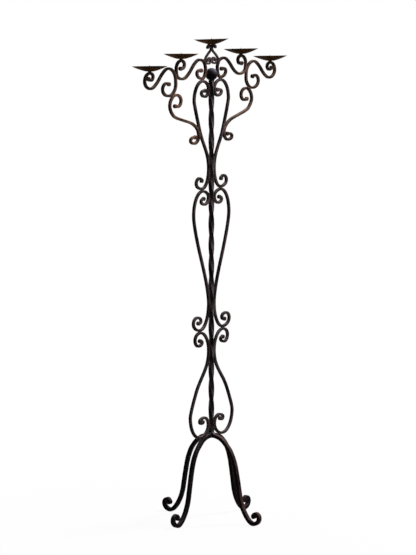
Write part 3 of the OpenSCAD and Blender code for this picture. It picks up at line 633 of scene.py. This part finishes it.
# %% Growing a piece
def thin_line(name, points, closed=False):
    """A mesh of edges through points in metres."""
    mesh = bpy.data.meshes.new(name)
    edges = [(i, i + 1) for i in range(len(points) - 1)] + ([(len(points) - 1, 0)] if closed else [])
    mesh.from_pydata(points, edges, [])
    made = bpy.data.objects.new(name, mesh)
    bpy.context.scene.collection.objects.link(made)
    return made


def taken(made):
    """Keeps what an object's modifiers make as its plain mesh."""
    graph = bpy.context.evaluated_depsgraph_get()
    mesh = bpy.data.meshes.new_from_object(made.evaluated_get(graph), depsgraph=graph)
    made.modifiers.clear()
    made.data = mesh
    return mesh


def grow(made, tree, values):
    """Runs a node tree on an object and keeps the result as its plain mesh."""
    work = made.modifiers.new("grow", "NODES")
    work.node_group = tree
    for socket in tree.interface.items_tree:
        if socket.in_out == "INPUT" and socket.name in values:
            work[socket.identifier] = values[socket.name]
    mesh = taken(made)
    form = bmesh.new()
    form.from_mesh(mesh)
    bmesh.ops.dissolve_degenerate(form, edges=form.edges, dist=0.000001)
    bmesh.ops.holes_fill(form, edges=[e for e in form.edges if e.is_boundary], sides=0)
    bmesh.ops.recalc_face_normals(form, faces=form.faces)
    form.to_mesh(mesh)
    form.free()
    return made


def fit(made, node, body="root"):
    """Puts a finished piece in the place of an exact solid."""
    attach(made, body)
    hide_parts(node)
    return len(made.data.polygons)


print("ready to grow pieces")

# %% [markdown]
# ## The eighteen bars
# Each line is drawn in its own upright plane, to the left or right of the post, or turned to the
# front or rear for a leg. The tips need a few extra rings close together, or the roll would look
# cut off. Every bar has its own seed, since no two bars show the same hammer marks.

# %% Drawing and growing the bars
def drawn(stations, bar, turn, swell, first_tip=True):
    """Points in metres of a bar's line, run on to the far side of its rolled tips."""
    flat_points = bar_path(stations)
    roll = bar * swell / 2
    steps = [roll * k for k in (0.3, 0.55, 0.75, 0.88, 0.96, 1.0)]
    last = [flat_points[-1] + d * way(stations[-1][2]) for d in steps]
    first = [flat_points[0] - d * way(stations[0][2]) for d in reversed(steps)] if first_tip else []
    out = Vector((math.cos(turn), math.sin(turn), 0))
    return [(out * p.x + Vector((0, 0, p.y))) * MM for p in first + flat_points + last]


def forge(name, stations, bar, turn, seed, finish, **more):
    """Makes one bar and puts it in the place of the exact solid with its name."""
    first_tip = more.pop("first_tip", True)
    swell = more.get("Tip swell", TIP_SWELL)
    piece = thin_line("forged_" + name, drawn(stations, bar, turn, swell, first_tip))
    values = {"Bar": bar * MM, "Seed": seed, "First tip": float(first_tip), "Finish": finish,
              "Across": (-math.sin(turn), math.cos(turn), 0.0)}
    values.update(more)
    grow(piece, bar_tree, values)
    return fit(piece, name)


LEG_TURNS = {"left": math.pi, "right": 0.0, "front": -math.pi / 2, "rear": math.pi / 2}
for number, (where, turn) in enumerate(LEG_TURNS.items()):
    # The front leg's copy is partly rust and partly painted light.
    finish = front_leg_rust_and_light if where == "front" else leg_iron
    faces = forge("leg_" + where, LEG, LEG_BAR, turn, 3.0 + number, finish, first_tip=False,
                  **{"Tip swell": FOOT_SWELL, "Corner radius": 0.0013, "Dent depth": 0.0003,
                     "Dent size": 0.024})
    print("leg", where, faces, "faces")

# %% Scrolls, braces, arms and hearts
SCROLLS = {"lower_scroll": LOWER, "middle_scroll": MIDDLE, "upper_scroll": UPPER, "brace": BRACE,
           "inner_arm": INNER_ARM, "outer_arm": OUTER_ARM}
FINISH = {"brace_left": rusty_iron, "brace_right": arm_iron, "inner_arm_left": arm_iron,
          "inner_arm_right": arm_iron, "outer_arm_left": arm_iron, "outer_arm_right": arm_iron}
for number, (name, stations) in enumerate(SCROLLS.items()):
    for where in ("left", "right"):
        bar_name = f"{name}_{where}"
        faces = forge(bar_name, stations, SCROLL_BAR, LEG_TURNS[where],
                      11.0 + 2 * number + (where == "right"), FINISH.get(bar_name, scroll_iron))
    print(name, faces, "faces each")
for where in ("left", "right"):
    faces = forge("heart_scroll_" + where, HEART, HEART_BAR, LEG_TURNS[where], 31.0 + (where == "right"),
                  scroll_iron, **{"Corner radius": 0.0006, "Dent depth": 0.0002})
print("heart_scroll", faces, "faces each")

# %% [markdown]
# ## The twisted post
# A square bar held in a vice and turned while it is hot gives a rope-like post. The rule is plain:
# the section turns evenly with the height. So the post is the same tree with its twist switched on,
# seventeen quarter turns from just above the legs to the ball, with a plain square foot below.

# %% Post
POST_FOOT = HUB_H - LEG_BAR / 2
TWIST_FROM = HUB_H + LEG_BAR / 2 + PLAIN_END
POST_TOP = BALL_Z - BALL_SEAT
RINGS = 640
post = thin_line("twisted_post", [
    (0, 0, (POST_FOOT + (POST_TOP - POST_FOOT) * i / RINGS) * MM) for i in range(RINGS + 1)
])
grow(post, bar_tree, {
    "Bar": POST_BAR * MM, "Corner radius": 0.0011, "First tip": 0.0, "Last tip": 0.0,
    "Twist": -math.pi / 2 * QUARTER_TURNS, "Twist from": (TWIST_FROM - POST_FOOT) * MM,
    "Twist to": (POST_TOP - POST_FOOT) * MM, "Dent depth": 0.0003, "Dent size": 0.014, "Seed": 1.0,
    "Finish": post_iron,
})
print("post:", fit(post, "post"), "faces")

# %% [markdown]
# ## One node tree for every round piece
# The ball, the pans, the collars and the prickets are all round about their own upright axis. Each
# is drawn as half a section and carried round a circle. A second step presses in the marks of the
# hammer along the surface's own normal, lets a pan's rim wander by about half a millimetre, and
# lifts it a little on the side that the pan leans away from, because no pan sits quite true.

# %% The round tree
round_tree = bpy.data.node_groups.new("Beaten round", "GeometryNodeTree")
round_in = inputs_of(round_tree, {
    "Axis": (0.0, 0.0, 0.0), "Segments": 96.0, "Dent depth": 0.0002, "Dent size": 0.009,
    "Wander": 0.0, "Wander from": 1.0, "Radius": 0.06, "Lean": (0.0, 0.0, 0.0), "Seed": 0.0,
}, ["Finish", "Inside finish"], "Round")
section = add(round_tree, "GeometryNodeCaptureAttribute", {
    "Geometry": add(round_tree, "GeometryNodeMeshToCurve", {"Mesh": round_in["Line"]}),
    "Half": add(round_tree, "GeometryNodeInputPosition"),
}, keeps={"Half": "VECTOR"}).outputs
circle = add(round_tree, "GeometryNodeCurvePrimitiveCircle", {
    "Resolution": round_in["Segments"], "Radius": 1.0,
})
spoke = add(round_tree, "GeometryNodeCaptureAttribute", {
    "Geometry": circle, "Spoke": add(round_tree, "GeometryNodeInputPosition"),
}, keeps={"Spoke": "VECTOR"}).outputs
turned = add(round_tree, "GeometryNodeCurveToMesh", {
    "Curve": spoke["Geometry"], "Profile Curve": section["Geometry"],
})
at = add(round_tree, "ShaderNodeSeparateXYZ", {0: section["Half"]}).outputs
out = add(round_tree, "ShaderNodeVectorMath", {0: spoke["Spoke"], "Scale": at["X"]}, operation="SCALE")
print("the round tree has", len(round_tree.nodes), "nodes so far")

# %% Rim, marks and finishes of the round tree
share = add(round_tree, "ShaderNodeMapRange", {0: at["X"], 1: round_in["Wander from"], 2: round_in["Radius"]},
            interpolation_type="SMOOTHSTEP")
wave = add(round_tree, "ShaderNodeTexNoise", {"Vector": spoke["Spoke"], "W": round_in["Seed"], "Scale": 0.9,
                                              "Detail": 0.0}, noise_dimensions="4D")
drop = add(round_tree, "ShaderNodeMath", {0: wave, 1: round_in["Wander"]}, operation="MULTIPLY")
lean = add(round_tree, "ShaderNodeVectorMath", {0: spoke["Spoke"], 1: round_in["Lean"]},
           operation="DOT_PRODUCT").outputs["Value"]
drop = add(round_tree, "ShaderNodeMath", {0: drop, 1: lean}, operation="SUBTRACT")
drop = add(round_tree, "ShaderNodeMath", {0: drop, 1: share}, operation="MULTIPLY")
height = add(round_tree, "ShaderNodeMath", {0: at["Z"], 1: drop}, operation="SUBTRACT")
height = add(round_tree, "ShaderNodeCombineXYZ", {2: height})
place = add(round_tree, "ShaderNodeVectorMath", {0: out, 1: height}, operation="ADD")
place = add(round_tree, "ShaderNodeVectorMath", {0: place, 1: round_in["Axis"]}, operation="ADD")
shape = add(round_tree, "GeometryNodeSetPosition", {"Geometry": turned, "Position": place})
shape = add(round_tree, "GeometryNodeMergeByDistance", {"Geometry": shape, "Distance": MERGE})
fine = add(round_tree, "ShaderNodeMath", {0: 1.0, 1: round_in["Dent size"]}, operation="DIVIDE")
mark = add(round_tree, "ShaderNodeTexNoise", {"W": round_in["Seed"], "Scale": fine, "Detail": 1.0},
           noise_dimensions="4D")
mark = add(round_tree, "ShaderNodeMapRange", {0: mark, 1: 0.4, 2: 0.75, 4: round_in["Dent depth"]},
           interpolation_type="SMOOTHSTEP")
inward = add(round_tree, "ShaderNodeVectorMath", {
    0: add(round_tree, "GeometryNodeInputNormal"), "Scale": mark,
}, operation="SCALE")
shape = add(round_tree, "GeometryNodeSetPosition", {"Geometry": shape, "Offset": inward})
inner = add(round_tree, "GeometryNodeInputNamedAttribute", {"Name": "inside"}, data_type="FLOAT")
inner = add(round_tree, "FunctionNodeCompare", {0: inner, 1: 0.5}, data_type="FLOAT",
            operation="GREATER_THAN")
shape = finished(round_tree, shape, round_in["Finish"])
shape = add(round_tree, "GeometryNodeSetMaterial", {"Geometry": shape, "Selection": inner,
                                                    "Material": round_in["Inside finish"]})
add(round_tree, "NodeGroupOutput", {0: shape})
print("the round tree has", len(round_tree.nodes), "nodes")

# %% [markdown]
# ## The ball
# The ball on top of the post was forged and filed round, then pierced for the post's tenon. Its
# underside is flat where it sits on the twisted bar. Half a section of it is an arc with a short
# flat at the bottom, and the round tree does the rest.

# %% Ball
def turn_round(name, points, axis, seed, finish, inside=None, closed=False, **more):
    """Carries half a section, in millimetres, round an upright axis."""
    made = thin_line(name, [(r * MM, 0, z * MM) for r, z in points], closed)
    if inside:
        made.data.attributes.new("inside", "FLOAT", "POINT").data.foreach_set("value", inside)
    values = {"Axis": (axis[0] * MM, 0.0, axis[1] * MM), "Seed": seed, "Finish": finish,
              "Inside finish": finish}
    values.update(more)
    return grow(made, round_tree, values)


ARC_STEPS = 44
low = math.asin(-BALL_SEAT / (BALL_D / 2)) + 0.03  # radians, a little above the edge of the flat
arc = [low + (math.pi / 2 - low) * i / ARC_STEPS for i in range(ARC_STEPS)]
ball_section = [(0, -BALL_SEAT), (5, -BALL_SEAT), (POST_CORNER - 0.5, -BALL_SEAT)]
ball_section += [(BALL_D / 2 * math.cos(t), BALL_D / 2 * math.sin(t)) for t in arc] + [(0, BALL_D / 2)]
ball = turn_round("forged_ball", ball_section, (0, BALL_Z), 41.0, ball_iron,
                  **{"Dent depth": 0.0004, "Dent size": 0.010, "Segments": 72.0})
print("ball:", fit(ball, "ball"), "faces")

# %% [markdown]
# ## The pans
# A drip pan catches the wax that runs down a candle. It has a flat floor and a dish that steepens
# towards the rim. The section below goes out along the underside, over the filed rim and back down
# the inside, so the sheet has its real thickness. Each point also says whether it lies inside,
# and how near the rim, because the two sides have different finishes and the wax gathers high up.

# %% Section of a pan
SLOPE_IN, SLOPE_OUT = math.radians(14), math.radians(28)
DISH_R = (PAN_D - FLOOR_D) / 2 / (math.sin(SLOPE_OUT) - math.sin(SLOPE_IN))
DISH_RISE = DISH_R * (math.cos(SLOPE_IN) - math.cos(SLOPE_OUT))


def dish(lift, steps=26):
    """Points from the floor's edge to the rim, lifted by a thickness."""
    slopes = [SLOPE_IN + (SLOPE_OUT - SLOPE_IN) * i / steps for i in range(steps + 1)]
    return [(FLOOR_D / 2 + DISH_R * (math.sin(a) - math.sin(SLOPE_IN)),
             PAN_DEPTH * DISH_R * (math.cos(SLOPE_IN) - math.cos(a)) / DISH_RISE + lift) for a in slopes]


HOLE, SEAT = PRICKET_D / 2 + 0.1, SHOULDER_D / 2 + 0.1
under = [(HOLE, 0), (8, 0), (14, 0)] + [p for p in dish(0) if p[1] < PAN_DEPTH - 0.4]
rim = [(PAN_D / 2 - 0.3, PAN_DEPTH - 0.2), (PAN_D / 2 - 0.15, PAN_DEPTH - 0.05), (PAN_D / 2 - 0.5, PAN_DEPTH),
       (PAN_D / 2 - 1.6, PAN_DEPTH - 0.05), (PAN_D / 2 - 2.4, PAN_DEPTH - 0.25)]
bowl = [p for p in reversed(dish(PAN_T)) if p[1] < PAN_DEPTH - 0.6]
bowl += [(14, PAN_T), (9, PAN_T), (SEAT, PAN_T), (SEAT, PAN_T - SEAT_SINK), (HOLE, PAN_T - SEAT_SINK)]
pan_section = under + rim + bowl
depth_share = [min(1, max(0, (z - PAN_T) / (PAN_DEPTH - PAN_T))) for _, z in rim[3:] + bowl]
pan_inside = [0.0] * (len(under) + 3) + [0.55 + 0.45 * share for share in depth_share]
print("a pan's section has", len(pan_section), "points; the dish rises", round(dish(0)[-1][1], 1), "mm")

# %% Five pans
PANS = {"middle": (0, STAND_H), "inner_left": (-INNER_REACH, INNER_RIM),
        "inner_right": (INNER_REACH, INNER_RIM), "outer_left": (-OUTER_REACH, OUTER_RIM),
        "outer_right": (OUTER_REACH, OUTER_RIM)}
NEAR = Vector((-math.sin(CAMERA_AROUND), -math.cos(CAMERA_AROUND), 0))
BESIDE = Vector((NEAR.y, -NEAR.x, 0))
# Millimetres by which the near side and the right-hand side of each rim stand above level.
LEANS = {"middle": (3.6, 1.8), "inner_left": (4.2, 0.1), "inner_right": (4.6, 1.0),
         "outer_left": (5.0, 0.7), "outer_right": (4.6, 0.8)}
for number, (where, (reach, rim_z)) in enumerate(PANS.items()):
    lean = (NEAR * LEANS[where][0] - BESIDE * LEANS[where][1]) * MM
    pan = turn_round("beaten_pan_" + where, pan_section, (reach, rim_z - PAN_DEPTH), 51.0 + number,
                     sheet_iron, pan_inside, True,
                     **{"Inside finish": wax_film, "Segments": 144.0, "Dent depth": 0.00015,
                        "Dent size": 0.018, "Wander": 0.0006, "Wander from": 0.016,
                        "Radius": PAN_D / 2 * MM, "Lean": tuple(lean)})
    print("pan", where, fit(pan, "pan_" + where), "faces")

# %% [markdown]
# ## Prickets and collars
# A pricket is a pin with a shoulder. Its tail goes down through the pan, and on the four arms it
# also passes a collar and is riveted into the arm. Both are small round pieces, so they come from
# the same tree with fewer segments. Their edges are broken by a few tenths of a millimetre, as a
# file would leave them.

# %% Prickets
TAIL = PAN_T - SEAT_SINK + COLLAR_H + 5
WHOLE = PRICKET_H + SEAT_SINK
POINT_Z = WHOLE - POINT_L
PIN_R = PRICKET_D / 2
pricket_section = [
    (0, -TAIL), (PIN_R - 0.4, -TAIL), (PIN_R, -TAIL + 0.4), (PIN_R, 0), (SHOULDER_D / 2 - 0.2, 0),
    (SHOULDER_D / 2, 0.25), (SHOULDER_D / 2, SHOULDER_T - 0.4), (SHOULDER_D / 2 - 0.4, SHOULDER_T),
    (PIN_R + 0.4, SHOULDER_T), (PIN_R, SHOULDER_T + 0.4), (PIN_R, POINT_Z - 2), (PIN_R, POINT_Z),
    (PIN_R - 0.45, POINT_Z + 2.4), (PIN_R - 0.9, POINT_Z + 4.8), (PIN_R - 1.35, WHOLE - 1.9),
    (0.3, WHOLE - 0.2), (0, WHOLE),
]
for number, (where, (reach, rim_z)) in enumerate(PANS.items()):
    seat_z = rim_z - PAN_DEPTH + PAN_T - SEAT_SINK
    pin = turn_round("pricket_pin_" + where, pricket_section, (reach, seat_z), 61.0 + number, pricket_iron,
                     **{"Segments": 28.0, "Dent depth": 0.0001, "Dent size": 0.004})
    print("pricket", where, fit(pin, "pricket_" + where), "faces")

# %% Collars
collar_section = [
    (0, -COLLAR_H - 0.8), (COLLAR_D / 2 - 0.7, -COLLAR_H - 0.8), (COLLAR_D / 2 - 0.1, -COLLAR_H - 0.3),
    (COLLAR_D / 2, -COLLAR_H / 2), (COLLAR_D / 2 - 0.1, -0.4), (COLLAR_D / 2 - 0.5, 0), (0, 0),
]
for number, (where, (reach, rim_z)) in enumerate(list(PANS.items())[1:]):
    collar = turn_round("forged_collar_" + where, collar_section, (reach, rim_z - PAN_DEPTH),
                        71.0 + number, scroll_iron,
                        **{"Segments": 40.0, "Dent depth": 0.0002, "Dent size": 0.005})
    print("collar", where, fit(collar, "collar_" + where), "faces")

# %% [markdown]
# ## The welds
# Where two scrolls touch, a bead of weld fills the groove on each side. The exact solids already
# have the right size and place, but sharp edges, while weld metal was liquid and its skin is round
# and rippled. A copy of the solid is remeshed with small voxels, which melts its parts into one
# skin. It is smoothed, and a node tree then lays ripples of 1.6 millimetres over it.

# %% Welds
weld_tree = bpy.data.node_groups.new("Weld skin", "GeometryNodeTree")
weld_in = inputs_of(weld_tree, {"Ripple": 0.0016, "Depth": 0.00035, "Seed": 0.0}, ["Finish"], "Skin")
fine = add(weld_tree, "ShaderNodeMath", {0: 1.0, 1: weld_in["Ripple"]}, operation="DIVIDE")
lump = add(weld_tree, "ShaderNodeTexNoise", {"W": weld_in["Seed"], "Scale": fine, "Detail": 1.0},
           noise_dimensions="4D")
lump = add(weld_tree, "ShaderNodeMapRange", {0: lump, 1: 0.3, 2: 0.7, 3: -1.0, 4: 1.0})
lump = add(weld_tree, "ShaderNodeMath", {0: lump, 1: weld_in["Depth"]}, operation="MULTIPLY")
lump = add(weld_tree, "ShaderNodeVectorMath", {
    0: add(weld_tree, "GeometryNodeInputNormal"), "Scale": lump,
}, operation="SCALE")
skin = add(weld_tree, "GeometryNodeSetPosition", {"Geometry": weld_in["Line"], "Offset": lump})
add(weld_tree, "NodeGroupOutput", {0: finished(weld_tree, skin, weld_in["Finish"])})


VOXEL = 0.0004  # metres, fine enough to keep a bead's round


def melt(node, seed):
    """A rounded, rippled skin over a copy of an exact weld."""
    made = bpy.data.objects.new("bead_" + node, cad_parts[node].data.copy())
    bpy.context.scene.collection.objects.link(made)
    form = bmesh.new()
    form.from_mesh(made.data)
    bmesh.ops.remove_doubles(form, verts=form.verts, dist=0.00001)
    form.to_mesh(made.data)
    form.free()
    skin_step = made.modifiers.new("skin", "REMESH")
    skin_step.mode, skin_step.voxel_size = "VOXEL", VOXEL
    soft = made.modifiers.new("soft", "SMOOTH")
    soft.factor, soft.iterations = 0.5, 5
    taken(made)
    return grow(made, weld_tree, {"Seed": seed, "Finish": weld_iron})


WELDS = "hub_welds", "leg_welds", "post_welds", "scroll_welds", "arm_welds", "pan_welds"
for number, node in enumerate(WELDS):
    print(node, fit(melt(node, 81.0 + number), node), "faces")

# %% [markdown]
# ## Floor and light
# The photograph has a plain white ground. The floor is pale and diffuse, and for the camera and
# for reflections it is mixed with plain white, so the ground reads white and still holds a soft
# shadow under the feet. The light is a strong soft lamp to the right and a little behind, which
# draws a pale line down the right-hand edge of every bar, with a faint one overhead and a weak one
# to the right of the camera. A fill behind the stand shows the iron to whoever walks round it. So
# the faces towards the camera stay nearly black. The wax in the pans comes out about 1.3 times as
# bright, in linear light, as its colour is written, and stays below white.

# %% Floor and world
def seen_or_mirrored(tree):
    """1 for what the camera sees directly, in a reflection or through glass."""
    light_path = add(tree, "ShaderNodeLightPath").outputs
    both = add(tree, "ShaderNodeMath", {0: light_path["Is Camera Ray"], 1: light_path["Is Glossy Ray"]},
               operation="MAXIMUM")
    return add(tree, "ShaderNodeMath", {0: both, 1: light_path["Is Transmission Ray"]}, operation="MAXIMUM")


FLOOR_SIZE, FLOOR_DROP = 120, 0.0002  # metres; the floor lies just under the feet
NEAR_FEET, FAR_OUT = 0.2, 1.1  # metres from the axis, between which the ground turns pure white
WHITE_SHARE = 0.94  # of plain white near the feet, where a shadow has to show
bpy.ops.mesh.primitive_plane_add(size=FLOOR_SIZE, location=(0, 0, -FLOOR_DROP))
ground = bpy.context.object
ground.name = "ground"
pale, pale_tree = blank_material("pale_matt_floor")
seen = seen_or_mirrored(pale_tree)
tint = add(pale_tree, "ShaderNodeMix", {0: seen, 6: colour("#4a4a4a"), 7: colour("#f6f6f6")},
           data_type="RGBA")
matt = add(pale_tree, "ShaderNodeBsdfDiffuse", {"Color": tint.outputs[2]})
white = add(pale_tree, "ShaderNodeEmission", {"Color": (1, 1, 1, 1), "Strength": 1.0})
away = add(pale_tree, "ShaderNodeVectorMath", {
    0: add(pale_tree, "ShaderNodeTexCoord").outputs["Object"]}, operation="LENGTH").outputs["Value"]
away = add(pale_tree, "ShaderNodeMapRange", {0: away, 1: NEAR_FEET, 2: FAR_OUT, 3: WHITE_SHARE, 4: 1.0})
share = add(pale_tree, "ShaderNodeMath", {0: seen, 1: away}, operation="MULTIPLY")
mixed = add(pale_tree, "ShaderNodeMixShader", {0: share, 1: matt, 2: white})
add(pale_tree, "ShaderNodeOutputMaterial", {"Surface": mixed})
ground.data.materials.append(pale)
ground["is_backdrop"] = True

world = bpy.data.worlds.new("studio")
world.use_nodes = True
world.node_tree.nodes.clear()
soft = add(world.node_tree, "ShaderNodeBackground", {"Color": (1, 1, 1, 1), "Strength": 0.0022})
white = add(world.node_tree, "ShaderNodeBackground", {"Color": (1, 1, 1, 1), "Strength": 1.0})
mixed = add(world.node_tree, "ShaderNodeMixShader", {0: seen_or_mirrored(world.node_tree), 1: soft,
                                                     2: white})
add(world.node_tree, "ShaderNodeOutputWorld", {"Surface": mixed})
bpy.context.scene.world = world
print("floor and world are set")

# %% Lamps
AIM = Vector((0, 0, 1.3))  # metres, among the upper scrolls


def lamp(name, right, toward, up, width, level):
    """A soft lamp placed as seen from the camera. Level 1 lights a facing surface as it is written."""
    ahead = Vector((math.sin(CAMERA_AROUND), math.cos(CAMERA_AROUND), 0))
    place = AIM + Vector((ahead.y, -ahead.x, 0)) * right - ahead * toward + Vector((0, 0, up))
    made = bpy.data.objects.new(name, bpy.data.lights.new(name, "AREA"))
    made.data.shape, made.data.size = "DISK", width
    made.data.energy = level * math.pi ** 2 * (place - AIM).length_squared
    made.location = place
    made.rotation_euler = (AIM - place).to_track_quat("-Z", "Y").to_euler()
    bpy.context.scene.collection.objects.link(made)
    return made.data.energy


print("overhead:", round(lamp("overhead", 0.4, 0.3, 2.4, 2.0, 0.067)), "W")
print("beside:", round(lamp("right_and_a_little_behind", 1.95, -0.8, 1.75, 1.0, 1.611)), "W")
print("behind:", round(lamp("behind_the_stand", -1.6, -1.8, 1.2, 1.2, 0.5)), "W")
print("right:", round(lamp("right_of_camera", 2.3, 1.4, 1.0, 1.0, 0.072)), "W")

# %% [markdown]
# ## The last check
# The dressed stand must be no larger than the exact one. Both boxes are compared corner by corner,
# and the last lines print by how many millimetres the dressed one has grown.

# %% Sizes and finish
dressed_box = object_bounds()
for dressed_corner, cad_corner in zip(dressed_box, cad_box):
    print("grown by (mm):", [round((abs(d) - abs(c)) / MM, 2) for d, c in zip(dressed_corner, cad_corner)])
